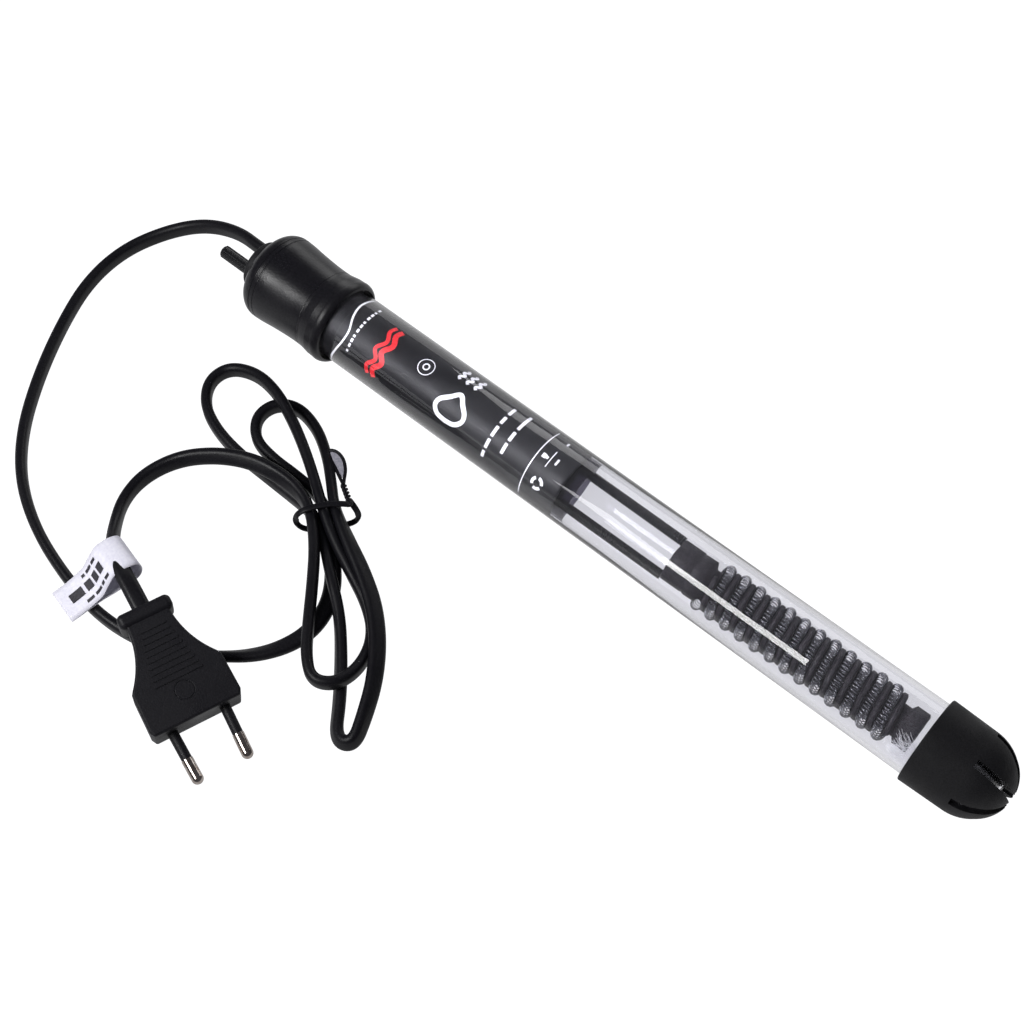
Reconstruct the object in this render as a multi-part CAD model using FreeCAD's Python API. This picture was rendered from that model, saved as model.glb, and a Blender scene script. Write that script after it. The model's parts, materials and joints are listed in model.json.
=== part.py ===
import FreeCAD, Part
import math
import os
from FreeCAD import Vector

# Submersible aquarium heater with its mains cord, plug and tag, lying on a flat surface.
# Row frame, in mm: +X from the head cap to the end guard, +Z up, origin on the surface under the
# middle of the heater. The heater itself is built along its own X axis, with x = 0 at the mouth of
# the head cap, and is then laid down so that the cap and the guard both touch the surface.

# ---- driving dimensions: the tube and its two ends ----
tube_r = 13.5
tube_wall = 1.5
glass_in = 26.0            # length of glass hidden inside the head cap
exposed_glass = 248.5
cap_length = 38.5
cap_shoulder_r = 16.95
cap_shoulder_x = -33.0
cap_waist_r = 15.7
cap_lip_r = 16.4
cap_mouth_r = 14.7         # the recess around the glass
boss_r = 9.7
boss_length = 5.0
guard_r = 15.4
guard_neck_r = 15.0
guard_straight = 16.5
guard_length = 31.6
guard_slot = 2.9
guard_slot_turns = (14.0, 74.0, 134.0)   # each cut makes two slots, on opposite sides of the tip
knob_r = 2.5
knob_reach = 15.2          # how far the knob stands out of the boss
knob_y, knob_z = -3.8, -1.4
cord_y, cord_z = 4.3, 1.6

# ---- driving dimensions: inside the glass ----
sleeve_r = 11.85
sleeve_wall = 0.35
sleeve_start, sleeve_end = 2.0, 106.0
liner_r = 11.45
liner_wall = 0.55
liner_end = 111.0
board_half = 8.6
board_top = -4.8
board_thick = 1.2
board_start, board_end = 6.0, 100.0
screw_r = 1.5
running_gap = 0.06
strip_bottom = 3.4
strip_thick = 0.6
strip_y = 1.5              # middle of the bimetal strip and its contacts
strip_half = 3.0
strip_pivot_x = 62.0
rivet_places = (60.6, 64.0)
contact_x = 24.5
wire_r = 0.9
wire_lines = (3.1, 5.5)            # y of the two supply wires through the stopper
wire_board_lines = (5.6, 7.7)      # y of the same wires along the board
wire_ends = (34.0, 46.0)
lead_r = 1.7
lead_y, lead_z = 6.0, 2.6
core_start, core_end = 150.0, 246.0
core_collar_end = 164.0
core_stub_start = 240.5
core_collar_r = 7.6
core_r = 5.5
core_bore_r = 1.2
coil_r = 2.0               # radius of the wound wire's own tube
coil_centre_r = 7.7
coil_pitch = 5.9
coil_turns = 12.25

# ---- driving dimensions: cord, plug, tag and tie ----
cord_r = 2.4
plug_front = Vector(-46.6, -141.1, 0)
plug_yaw, plug_pitch, plug_roll = -20.0, 12.8, -1.5
plug_length = 42.0
plug_half_width = 16.0
plug_half_thick = 6.6
pin_r = 2.0
pin_length = 19.0
pin_sleeve_length = 10.0
pin_sleeve_r = 1.8
pin_core_r = 1.5
pin_half_gap_base, pin_half_gap_tip = 9.3, 8.75
tag_width = 13.5
tag_length = 28.7
tag_thick = 0.35
hank_height = 8.5
tie_r = 1.1
tie_centre = Vector(-70.0, -56.6, 0)
tie_angle = 47.0           # direction of the tie across the bundle, from +X
tie_reach = 8.4            # from the middle of the tie to each of its sides
tie_tail = [(-86.0, -37.5, 5.0), (-77.5, -38.0, 6.5), (-70.0, -43.0, 9.0)]
tag_fold = Vector(-104.0, -114.0, 0)
tag_heading = -103.0

# From the gland: down to the surface, round behind the heater's end, under the plug and the tag,
# and up into the tied bundle.
cord_route = [
    (-173.0, 7.5, 15.5), (-188.5, 4.0, 9.0), (-199.5, -7.5, 4.2), (-205.5, -23.0, 2.45),
    (-204.5, -41.0, 2.45), (-197.0, -62.0, 2.45), (-187.5, -83.0, 2.45), (-176.0, -102.5, 2.45),
    (-161.0, -116.0, 2.45), (-142.0, -125.5, 2.45), (-120.5, -131.5, 2.45), (-99.0, -134.5, 2.45),
    (-79.0, -131.5, 2.45), (-62.0, -121.5, 2.45), (-49.5, -109.0, 2.45), (-43.0, -94.0, 2.45),
]

# From the plug: down to the surface, round, and over the bundle's left loops to the tie.
plug_cord_route = [
    (-109.5, -117.4, 13.0), (-121.0, -109.5, 8.0), (-129.5, -98.0, 3.4), (-131.0, -83.5, 2.45),
    (-124.0, -71.0, 3.0), (-111.5, -63.5, 5.2), (-99.0, -60.5, 6.0),
]

# The outer shape of the tied bundle: the right loops, then the left ones.
hank_outline = [
    (-66.5, -53.0), (-44.0, -62.0), (-25.0, -73.5), (-10.0, -91.0), (-2.0, -110.0), (-4.5, -119.5),
    (-15.0, -117.0), (-26.0, -109.5), (-38.0, -105.0), (-47.5, -95.0), (-57.0, -81.0), (-74.0, -61.0),
    (-92.0, -64.0), (-112.0, -62.5), (-130.0, -58.0), (-141.0, -48.0), (-142.0, -36.0),
    (-132.0, -28.0), (-115.0, -29.5), (-98.0, -36.5), (-82.0, -46.5),
]

# ---- where the heater lies ----
knob_end = -cap_length - boss_length - knob_reach
guard_end = exposed_glass + guard_length
mouth_x = -(guard_end + knob_end) / 2
guard_touch_x = exposed_glass + 0.5
tilt = math.degrees(math.asin((cap_shoulder_r - guard_r) / (guard_touch_x - cap_shoulder_x)))
mouth_z = cap_shoulder_r + cap_shoulder_x * math.sin(math.radians(tilt))

axis_x = Vector(1, 0, 0)
axis_y = Vector(0, 1, 0)
axis_z = Vector(0, 0, 1)


def edges_through(steps, point):
    # A step is (a, b) for a straight edge to that place, or (a, b, via_a, via_b) for an arc.
    edges = []
    here = point(*steps[0][:2])
    for step in steps[1:]:
        there = point(*step[:2])
        if len(step) == 4:
            edges.append(Part.Arc(here, point(*step[2:]), there).toShape())
        else:
            edges.append(Part.LineSegment(here, there).toShape())
        here = there
    return edges


def lathe(steps, y=0.0, z=0.0):
    # Turns a closed outline of (x, radius) steps about the line through (y, z) along X.
    closed = steps + [steps[0][:2]]
    wire = Part.Wire(edges_through(closed, lambda x, r: Vector(x, y, z + r)))
    return Part.Face(wire).revolve(Vector(0, y, z), axis_x, 360)


def rod(x_start, x_end, radius, y=0.0, z=0.0):
    return Part.makeCylinder(radius, x_end - x_start, Vector(x_start, y, z), axis_x)


def pipe(x_start, x_end, outer, inner, y=0.0, z=0.0):
    return rod(x_start, x_end, outer, y, z).cut(rod(x_start, x_end, inner, y, z))


def block(x, y, z):
    # Each argument is a (low, high) pair.
    size = [high - low for low, high in (x, y, z)]
    return Part.makeBox(*size, Vector(x[0], y[0], z[0]))


def ring_cutter(x, radius, depth):
    return Part.makeTorus(radius, depth, Vector(x, 0, 0), axis_x)


def laid_down(shape):
    placed = shape.copy()
    placed.rotate(Vector(0, 0, 0), axis_y, tilt)
    placed.translate(Vector(mouth_x, 0, mouth_z))
    return placed


def rounded_path(points, label, closed=False):
    # Straight runs joined by tangent arcs, each as large as its two runs allow.
    count = len(points)
    corners = range(count) if closed else range(1, count - 1)
    cuts = {}
    radii = []
    for i in corners:
        before = points[i - 1] - points[i]
        after = points[(i + 1) % count] - points[i]
        half_turn = (math.pi - before.getAngle(after)) / 2
        cut = 0.45 * min(before.Length, after.Length)
        radius = cut / math.tan(half_turn)
        radii.append(radius)
        to_before = before.normalize()
        to_after = after.normalize()
        middle = (to_before + to_after).normalize() * (radius / math.cos(half_turn) - radius)
        cuts[i] = (points[i] + to_before * cut, points[i] + middle, points[i] + to_after * cut)
    edges = []
    for i in range(count if closed else count - 1):
        j = (i + 1) % count
        start = cuts[i][2] if i in cuts else points[i]
        end = cuts[j][0] if j in cuts else points[j]
        edges.append(Part.LineSegment(start, end).toShape())
        if j in cuts:
            edges.append(Part.Arc(*cuts[j]).toShape())
    print(label, "radii", [round(radius, 1) for radius in radii])
    return Part.Wire(edges)


def tube_along(points, radius, label):
    path = rounded_path(points, label)
    ring = Part.Wire(Part.makeCircle(radius, points[0], points[1] - points[0]))
    tube = path.makePipeShell([ring], True, False)
    ideal = math.pi * radius ** 2 * path.Length
    print(label, "length %.0f, volume ratio %.4f" % (path.Length, tube.Volume / ideal))
    return tube


# ---- the glass and the two ends ----

def glass_tube():
    centre = exposed_glass + 14.5
    inner = tube_r - tube_wall
    diagonal = math.sqrt(0.5)
    return lathe([
        (-glass_in, inner), (-glass_in, tube_r), (centre, tube_r),
        (centre + tube_r, 0, centre + tube_r * diagonal, tube_r * diagonal),
        (centre + inner, 0),
        (centre, inner, centre + inner * diagonal, inner * diagonal),
    ])


def head_cap():
    top = -cap_length
    cavity = top + 5.0
    body = lathe([
        (0, cap_mouth_r), (-0.3, cap_lip_r - 0.9),
        (-3.4, cap_lip_r, -1.4, cap_lip_r - 0.15),
        (-6.0, cap_lip_r - 0.1), (-9.5, cap_waist_r),
        (-18.0, cap_waist_r + 0.1, -13.5, cap_waist_r - 0.08),
        (-26.5, cap_shoulder_r - 0.45, -22.5, cap_waist_r + 0.42),
        (cap_shoulder_x, cap_shoulder_r, -30.0, cap_shoulder_r - 0.1),
        (top, cap_shoulder_r - 3.6, top + 2.21, cap_shoulder_r - 0.98),
        (top, boss_r - 1.5), (cavity, boss_r - 1.5),
        (cavity, 10.6), (-glass_in - 1.0, 10.6), (-glass_in - 1.0, 12.0), (-glass_in, 12.0),
        (-glass_in, tube_r), (-2.6, tube_r), (-2.6, cap_mouth_r),
    ])
    for x in (-31.2, -33.0, -34.8):
        body = body.cut(ring_cutter(x, cap_shoulder_r + 0.12, 0.34))
    for x in (-10.6, -8.9, -7.2):
        body = body.cut(ring_cutter(x, cap_waist_r + (x + 10.6) * 0.17 + 0.2, 0.34))
    return body


def cord_gland():
    top = -cap_length
    end = top - boss_length
    body = lathe([
        (top + 5.0, 0), (top + 5.0, boss_r - 1.5), (top, boss_r - 1.5), (top, boss_r),
        (end + 1.6, boss_r), (end, boss_r - 1.6, end + 0.47, boss_r - 0.47), (end, 0),
    ])
    body = body.cut(rod(end - 1, top + 6, cord_r, cord_y, cord_z))
    return body.cut(rod(end - 1, top + 6, knob_r + running_gap, knob_y, knob_z))


def tube_stopper():
    body = lathe([
        (-glass_in - 0.9, 0), (-glass_in - 0.9, 11.9), (-glass_in, 12.0),
        (-4.0, 12.0), (-3.0, 11.0), (-3.0, 0),
    ])
    body = body.cut(rod(-40, 0, 1.6 + running_gap, knob_y, knob_z))
    for wire_y in wire_lines:
        body = body.cut(rod(-40, 0, wire_r, wire_y, cord_z))
    return body


def end_guard():
    start = exposed_glass
    shoulder = start + guard_straight
    centre = start + 14.5
    diagonal = math.sqrt(0.5)
    dome_long = guard_length - guard_straight
    body = lathe([
        (start, tube_r), (start, guard_r - 0.5),
        (start + 0.5, guard_r, start + 0.15, guard_r - 0.15),
        (shoulder, guard_neck_r),
        (shoulder + 0.62 * dome_long, 0.765 * guard_neck_r,
         shoulder + 0.33 * dome_long, 0.935 * guard_neck_r),
        (guard_end, 0, shoulder + 0.9 * dome_long, 0.44 * guard_neck_r),
        (centre + tube_r, 0),
        (centre, tube_r, centre + tube_r * diagonal, tube_r * diagonal),
    ])
    slot = block((shoulder + 0.5, guard_end + 1), (-guard_slot / 2, guard_slot / 2), (-20, 20))
    for turn in guard_slot_turns:
        cutter = slot.copy()
        cutter.rotate(Vector(0, 0, 0), axis_x, turn)
        body = body.cut(cutter)
    return body


# ---- the temperature adjuster ----

def adjusting_knob():
    inner_end = -cap_length + 7.5
    body = lathe([
        (knob_end, 0), (knob_end, knob_r - 0.4), (knob_end + 0.4, knob_r),
        (inner_end, knob_r), (inner_end, 0),
    ], knob_y, knob_z)
    body = body.cut(rod(inner_end - 4, inner_end, 1.6, knob_y, knob_z))
    flutes = 12
    for i in range(flutes):
        angle = 2 * math.pi * i / flutes
        flute_y = knob_y + (knob_r + 0.1) * math.cos(angle)
        flute_z = knob_z + (knob_r + 0.1) * math.sin(angle)
        body = body.cut(rod(knob_end - 1, -cap_length - boss_length - 1.2, 0.42, flute_y, flute_z))
    slot = block((knob_end - 1, knob_end + 1.2), (knob_y - 4, knob_y + 4), (knob_z - 0.4, knob_z + 0.4))
    return body.cut(slot)


def knob_o_ring():
    centre = Vector(-cap_length + 5.8, knob_y, knob_z)
    return Part.makeTorus(knob_r + running_gap + 0.75, 0.75, centre, axis_x)


def adjusting_shaft():
    return rod(-cap_length + 3.5, 5.0, 1.6, knob_y, knob_z)


def adjusting_screw():
    outline = [(5.0, 0), (5.0, screw_r)]
    x = 9.0
    while x < 23.0:
        outline += [(x, screw_r), (x + 0.25, screw_r - 0.25), (x + 0.5, screw_r)]
        x += 0.75
    outline += [(26.0, screw_r), (26.4, screw_r - 0.4), (26.4, 0)]
    return lathe(outline, knob_y, knob_z)


def adjuster_bracket():
    y = (-7.4, -0.7)
    body = block((6.4, 26.0), y, (board_top, board_top + 0.8))
    for x in (6.4, 25.0):
        body = body.fuse(block((x, x + 1.0), y, (board_top, 2.0)))
    return body.cut(rod(0, 40, screw_r + running_gap, knob_y, knob_z)).removeSplitter()


def adjuster_nut():
    body = block((12.0, 18.0), (-6.6, -1.0), (board_top + 1.0, 2.0))
    body = body.fuse(block((14.0, 18.0), (-6.6, 2.4), (2.0, strip_bottom - 0.4)))
    return body.cut(rod(0, 40, screw_r + running_gap, knob_y, knob_z)).removeSplitter()


# ---- the switch on its board ----

def mounting_board():
    return block((board_start, board_end), (-board_half, board_half), (board_top - board_thick, board_top))


def bimetal_strip():
    y = (strip_y - strip_half, strip_y + strip_half)
    body = block((15.0, 66.0), y, (strip_bottom, strip_bottom + strip_thick))
    for x in rivet_places:
        body = body.cut(Part.makeCylinder(1.1, 4, Vector(x, strip_y, strip_bottom - 1), axis_z))
    return body


def moving_contact():
    return Part.makeCylinder(1.4, 0.8, Vector(contact_x, strip_y, strip_bottom - 0.8), axis_z)


def magnet_armature():
    return block((32.0, 38.0), (strip_y - 2.5, strip_y + 2.5), (strip_bottom - 0.6, strip_bottom))


def fixed_contact():
    top = strip_bottom - 0.9
    return Part.makeCylinder(1.4, 0.8, Vector(contact_x, strip_y, top - 0.8), axis_z)


def contact_post():
    top = strip_bottom - 1.7
    body = block((22.5, 27.0), (-0.2, 3.2), (top - 0.8, top))
    body = body.fuse(block((26.2, 27.0), (-0.2, 3.2), (board_top, top)))
    return body.fuse(block((26.2, 31.0), (-0.2, 3.2), (board_top, board_top + 0.8))).removeSplitter()


def snap_magnet():
    return block((32.5, 37.5), (strip_y - 2.0, strip_y + 2.0), (board_top, strip_bottom - 1.4))


def bimetal_anchor():
    return block((58.8, 66.0), (strip_y - strip_half, strip_y + strip_half), (board_top, strip_bottom - 0.3))


def anchor_rivets():
    rivets = []
    for x in rivet_places:
        shank = Part.makeCylinder(0.8, 2.0, Vector(x, strip_y, strip_bottom - 0.3), axis_z)
        head = Part.makeCylinder(1.6, 0.7, Vector(x, strip_y, strip_bottom + strip_thick + 0.35), axis_z)
        rivets.append(shank.fuse(head).removeSplitter())
    return Part.makeCompound(rivets)


def indicator_lamp():
    x, y, z, r = 70.0, 4.0, -2.2, 2.0
    dome = Part.makeSphere(r, Vector(x + 8, y, z))
    return rod(x, x + 8, r, y, z).fuse(dome).removeSplitter()


def lamp_resistor():
    x, r = 70.0, 1.3
    return lathe([
        (x, 0), (x, r - 0.3), (x + 0.4, r), (x + 1.6, r), (x + 2.0, r - 0.25), (x + 5.0, r - 0.25),
        (x + 5.4, r), (x + 6.6, r), (x + 7.0, r - 0.3), (x + 7.0, 0),
    ], -4.0, board_top + r)


def suppression_capacitor():
    body = block((84.0, 95.0), (-4.5, 4.5), (board_top, 3.2))
    return body.makeFillet(0.9, body.Edges)


def supply_wire(number, label):
    start_y = wire_lines[number]
    board_y = wire_board_lines[number]
    rest_z = board_top + wire_r
    return tube_along([
        Vector(-cap_length + 5.0, start_y, cord_z), Vector(2.0, start_y, cord_z),
        Vector(11.0, board_y, rest_z), Vector(wire_ends[number], board_y, rest_z),
    ], wire_r, label)


def terminal_tabs():
    tabs = []
    for number in (0, 1):
        x, y = wire_ends[number], wire_board_lines[number]
        tabs.append(block((x, x + 5.0), (y - 0.9, y + 0.9), (board_top, board_top + 2 * wire_r)))
    return Part.makeCompound(tabs)


def lead_lines():
    return ((lead_y, lead_z), (-lead_y, -lead_z))


def end_disc():
    body = rod(102.0, 103.2, liner_r - liner_wall)
    for y, z in lead_lines():
        body = body.cut(rod(101, 104, lead_r, y, z))
    return body


def heater_lead(number):
    y, z = lead_lines()[number]
    return rod(100.6, core_start, lead_r, y, z)


# ---- the heating element ----

def ceramic_core():
    rim = core_collar_r
    return lathe([
        (core_start, core_bore_r), (core_start, rim - 0.5), (core_start + 0.5, rim), (core_collar_end, rim),
        (core_collar_end, core_r), (core_stub_start, core_r), (core_stub_start, rim), (core_end - 0.5, rim),
        (core_end, rim - 0.5), (core_end, core_bore_r),
    ])


def return_wire():
    return rod(core_start + 1, core_end - 1, core_bore_r - 0.2)


def heating_coil():
    length = coil_pitch * coil_turns
    start = (core_collar_end + core_stub_start - length) / 2
    helix = Part.makeHelix(coil_pitch, length, coil_centre_r)
    ring = Part.Wire(Part.makeCircle(coil_r, Vector(coil_centre_r, 0, 0), axis_y))
    coil = Part.Wire(helix.Edges).makePipeShell([ring], True, True)
    coil.rotate(Vector(0, 0, 0), axis_y, 90)
    coil.translate(Vector(start, 0, 0))
    return coil


def glass_wool_pad():
    start = core_end + 0.5
    return lathe([
        (start, 0), (start, 9.0), (start + 2.5, 11.6, start + 0.7, 10.9),
        (start + 13.0, 11.6), (start + 19.5, 8.0, start + 17.0, 10.5), (start + 19.5, 0),
    ])


# ---- the plug, built along +X with its front face at x = 0, then turned and laid down ----

def plug_placed(shape):
    placed = shape.copy()
    placed.rotate(Vector(0, 0, 0), axis_x, plug_roll)
    placed.rotate(Vector(0, 0, 0), axis_y, plug_pitch)
    placed.rotate(Vector(0, 0, 0), axis_z, plug_yaw)
    return placed


def plug_blank():
    w = plug_half_width
    side = [
        (0, -w + 1.0), (-2.0, -w), (-15.5, -w + 0.3), (-17.0, -w + 1.3),
        (-37.0, -7.6, -26.0, -9.7), (-37.0, 7.6),
        (-17.0, w - 1.3, -26.0, 9.7), (-15.5, w - 0.3), (-2.0, w), (0, w - 1.0), (0, -w + 1.0),
    ]
    plan = Part.Face(Part.Wire(edges_through(side, lambda x, y: Vector(x, y, -10))))
    body = plan.extrude(Vector(0, 0, 20))
    t = plug_half_thick
    rear_t = 4.9
    profile = [(1, -t), (-16, -t), (-38, -rear_t), (-38, rear_t), (-16, t), (1, t), (1, -t)]
    wedge = Part.Face(Part.Wire(edges_through(profile, lambda x, z: Vector(x, -20, z))))
    body = body.common(wedge.extrude(Vector(0, 40, 0)))
    body = body.makeFillet(0.9, [edge for edge in body.Edges if edge.BoundBox.XMax > -36.5])
    flange = block((-plug_length, -36.5), (-9.4, 9.4), (-5.8, 5.8))
    flange = flange.makeFillet(2.0, flange.Edges)
    return body.fuse(flange).removeSplitter()


def plug_body():
    body = plug_blank()
    for i in range(10):
        x = -33.6 + 2.1 * i
        rise = plug_half_thick - (0 if x > -16 else (-16 - x) * 1.7 / 22)
        half = 4.6 + 0.42 * i
        for side in (1, -1):
            z = side * rise
            body = body.fuse(block((x, x + 0.8), (-half, half), sorted((z - side * 0.5, z + side * 0.35))))
    body = body.cut(Part.makeTorus(3.2, 0.3, Vector(-9.5, 0, plug_half_thick + 0.1), axis_z))
    for y in (-1, 1):
        hole = pin_rod(y, -12.0, 1.0, pin_core_r)
        body = body.cut(hole).cut(pin_rod(y, -2.0, 1.0, pin_sleeve_r))
    return body.cut(rod(-plug_length - 1, -plug_length + 4.0, cord_r))


def pin_line(side):
    base = Vector(0, side * pin_half_gap_base, 0)
    tip = Vector(pin_length, side * pin_half_gap_tip, 0)
    return base, (tip - base).normalize()


def pin_rod(side, start, end, radius):
    base, direction = pin_line(side)
    return Part.makeCylinder(radius, end - start, base + direction * start, direction)


def pin_tip(side):
    base, direction = pin_line(side)
    barrel = pin_rod(side, pin_sleeve_length, pin_length - pin_r, pin_r)
    return barrel.fuse(Part.makeSphere(pin_r, base + direction * (pin_length - pin_r))).removeSplitter()


def plug_pins():
    pins = []
    for side in (-1, 1):
        core = pin_rod(side, -12.0, pin_sleeve_length + 0.5, pin_core_r)
        pins.append(core.fuse(pin_tip(side)).removeSplitter())
    return Part.makeCompound(pins)


def pin_sleeves():
    sleeves = []
    for side in (-1, 1):
        outer = pin_rod(side, -2.0, pin_sleeve_length, pin_sleeve_r)
        sleeves.append(outer.cut(pin_rod(side, -3.0, pin_sleeve_length + 1, pin_core_r)))
    return Part.makeCompound(sleeves)


# ---- the tag, the tie and the cord ----

def rating_tag():
    # A paper strip folded round the cord. Places are (distance from the fold, height).
    outer = [
        (0, 13.6), (4.2, 18.8, 1.1, 17.4), (10.0, 18.4), (16.5, 10.4), (tag_length, 6.8),
        (tag_length, 6.2), (15.4, 8.4), (4.2, 8.4, 9.6, 8.3), (0, 13.6, 1.1, 9.8),
    ]
    t = tag_thick
    inner = [
        (t, 13.6), (4.3, 18.8 - t, 1.1 + t, 17.4 - t), (9.8, 18.4 - t), (15.2, 10.4),
        (14.8, 8.4 + t), (4.3, 8.4 + t, 9.6, 8.3 + t), (t, 13.6, 1.1 + t, 9.8 + t),
    ]
    faces = [Part.Face(Part.Wire(edges_through(steps, lambda a, z: Vector(a, -tag_width / 2, z))))
             for steps in (outer, inner)]
    strip = faces[0].cut(faces[1]).extrude(Vector(0, tag_width, 0))
    strip.rotate(Vector(0, 0, 0), axis_z, tag_heading)
    strip.translate(tag_fold)
    return strip


def cord_hank():
    outline = rounded_path([Vector(x, y, 0) for x, y in hank_outline], "hank outline", closed=True)
    body = Part.Face(outline).extrude(Vector(0, 0, hank_height))
    return body.makeFillet(2.0, [edge for edge in body.Edges if edge.BoundBox.ZMin > hank_height - 0.1])


def twist_tie():
    across = Vector(math.cos(math.radians(tie_angle)), math.sin(math.radians(tie_angle)), 0)
    right = tie_centre + across * tie_reach
    left = tie_centre - across * tie_reach
    low, high = tie_r + 0.1, hank_height + 3.6
    tail = [Vector(*place) for place in tie_tail]
    return tube_along(tail + [
        right + axis_z * high, left + axis_z * high, left + axis_z * low, right + axis_z * low,
        right + axis_z * (high - 3.4),
    ], tie_r, "twist tie")


def mains_cord():
    start = laid_down_point(-cap_length + 5.0, cord_y, cord_z)
    end = laid_down_point(-cap_length - boss_length - 3.0, cord_y, cord_z)
    return tube_along([start, end] + [Vector(*place) for place in cord_route], cord_r, "mains cord")


def plug_cord(lift):
    inside = plug_placed_point(-plug_length + 4.0, lift)
    outside = plug_placed_point(-plug_length - 7.0, lift)
    return tube_along([inside, outside] + [Vector(*place) for place in plug_cord_route], cord_r, "plug cord")


def laid_down_point(x, y, z):
    place = FreeCAD.Rotation(axis_y, tilt).multVec(Vector(x, y, z))
    return place + Vector(mouth_x, 0, mouth_z)


def plug_turn():
    return (FreeCAD.Rotation(axis_z, plug_yaw).multiply(FreeCAD.Rotation(axis_y, plug_pitch))
            .multiply(FreeCAD.Rotation(axis_x, plug_roll)))


def plug_placed_point(x, lift):
    return plug_turn().multVec(Vector(x, 0, 0)) + plug_front + axis_z * lift


def report_mounts(lift):
    for side, name in ((-1, "pin_left"), (1, "pin_right")):
        base, direction = pin_line(side)
        middle = plug_turn().multVec(base + direction * 13.5) + plug_front + axis_z * lift
        heading = plug_turn().multVec(direction)
        print(name, [round(v / 1000, 6) for v in middle], [round(v, 6) for v in heading])
    for label, local in (("tube middle", (exposed_glass / 2, 0, 0)), ("knob", (knob_end, knob_y, knob_z)),
                         ("strip pivot", (strip_pivot_x, strip_y, strip_bottom + strip_thick / 2))):
        print(label, [round(v / 1000, 6) for v in laid_down_point(*local)])
    print("heater axis", [round(v, 6) for v in FreeCAD.Rotation(axis_y, tilt).multVec(axis_x)])


def main():
    os.makedirs("parts", exist_ok=True)
    heater = {
        "glass_tube": glass_tube(), "head_cap": head_cap(), "cord_gland": cord_gland(),
        "tube_stopper": tube_stopper(), "end_guard": end_guard(),
        "adjusting_knob": adjusting_knob(), "knob_o_ring": knob_o_ring(),
        "adjusting_shaft": adjusting_shaft(), "adjusting_screw": adjusting_screw(),
        "adjuster_bracket": adjuster_bracket(), "adjuster_nut": adjuster_nut(),
        "mounting_board": mounting_board(), "bimetal_strip": bimetal_strip(),
        "moving_contact": moving_contact(), "magnet_armature": magnet_armature(),
        "fixed_contact": fixed_contact(), "contact_post": contact_post(), "snap_magnet": snap_magnet(),
        "bimetal_anchor": bimetal_anchor(), "anchor_rivets": anchor_rivets(),
        "indicator_lamp": indicator_lamp(), "lamp_resistor": lamp_resistor(),
        "suppression_capacitor": suppression_capacitor(),
        "neutral_wire": supply_wire(0, "neutral wire"), "live_wire": supply_wire(1, "live wire"),
        "terminal_tabs": terminal_tabs(),
        "printed_sleeve": pipe(sleeve_start, sleeve_end, sleeve_r, sleeve_r - sleeve_wall),
        "inner_liner": pipe(sleeve_start + 1, liner_end, liner_r, liner_r - liner_wall),
        "end_disc": end_disc(), "lead_upper": heater_lead(0), "lead_lower": heater_lead(1),
        "ceramic_core": ceramic_core(), "return_wire": return_wire(), "heating_coil": heating_coil(),
        "glass_wool_pad": glass_wool_pad(),
    }
    shapes = {name: laid_down(shape) for name, shape in heater.items()}
    plug = {name: plug_placed(shape) for name, shape in
            (("plug_body", plug_body()), ("plug_pins", plug_pins()), ("pin_sleeves", pin_sleeves()))}
    lift = -min(shape.optimalBoundingBox().ZMin for shape in plug.values())
    for name, shape in plug.items():
        shape.translate(plug_front + axis_z * lift)
        shapes[name] = shape
    shapes["plug_cord"] = plug_cord(lift)
    shapes["mains_cord"] = mains_cord()
    shapes["cord_hank"] = cord_hank()
    shapes["twist_tie"] = twist_tie()
    shapes["rating_tag"] = rating_tag()
    for name, shape in shapes.items():
        if not shape.isValid():
            print("NOT VALID", name)
        shape.exportStep("parts/" + name + ".step")
    report_mounts(lift)


main()
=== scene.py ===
import json
import math
import random

import bmesh
import bpy
from mathutils import Matrix, Vector, noise


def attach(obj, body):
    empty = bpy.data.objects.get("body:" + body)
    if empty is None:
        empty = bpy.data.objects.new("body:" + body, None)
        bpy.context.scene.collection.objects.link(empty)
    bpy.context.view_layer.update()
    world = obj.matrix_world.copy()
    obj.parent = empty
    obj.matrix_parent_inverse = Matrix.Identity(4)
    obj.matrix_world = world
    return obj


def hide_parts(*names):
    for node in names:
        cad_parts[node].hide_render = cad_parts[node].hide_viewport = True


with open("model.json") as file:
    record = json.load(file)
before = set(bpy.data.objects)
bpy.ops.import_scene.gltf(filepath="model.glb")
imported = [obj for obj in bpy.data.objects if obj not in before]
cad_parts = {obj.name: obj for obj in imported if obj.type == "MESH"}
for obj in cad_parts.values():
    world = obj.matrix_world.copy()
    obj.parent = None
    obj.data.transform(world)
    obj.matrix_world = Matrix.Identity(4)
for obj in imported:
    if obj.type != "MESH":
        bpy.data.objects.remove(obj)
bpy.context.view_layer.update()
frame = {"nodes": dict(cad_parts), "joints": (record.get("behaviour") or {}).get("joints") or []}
mm = 0.001
randomiser = random.Random(7)
print("frame loaded")

# The camera stands where the heater, plug and bundle are all in view.
cameraPlace = {
    "location": (0.1705, -0.2423, 0.5211),
    "tilt": 29.784,
    "turn": 39.997,
    "lens": 60.25,
    "sensor": 36.0,
}

cameraData = bpy.data.cameras.new("studioCamera")
cameraData.lens = cameraPlace["lens"]
cameraData.sensor_width = cameraPlace["sensor"]
cameraData.clip_start = 0.01
cameraData.clip_end = 20
cameraObject = bpy.data.objects.new("studioCamera", cameraData)
cameraObject.location = cameraPlace["location"]
cameraObject.rotation_euler = (math.radians(cameraPlace["tilt"]), 0, math.radians(cameraPlace["turn"]))
bpy.context.scene.collection.objects.link(cameraObject)
bpy.context.scene.camera = cameraObject
print("camera placed")

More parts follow.
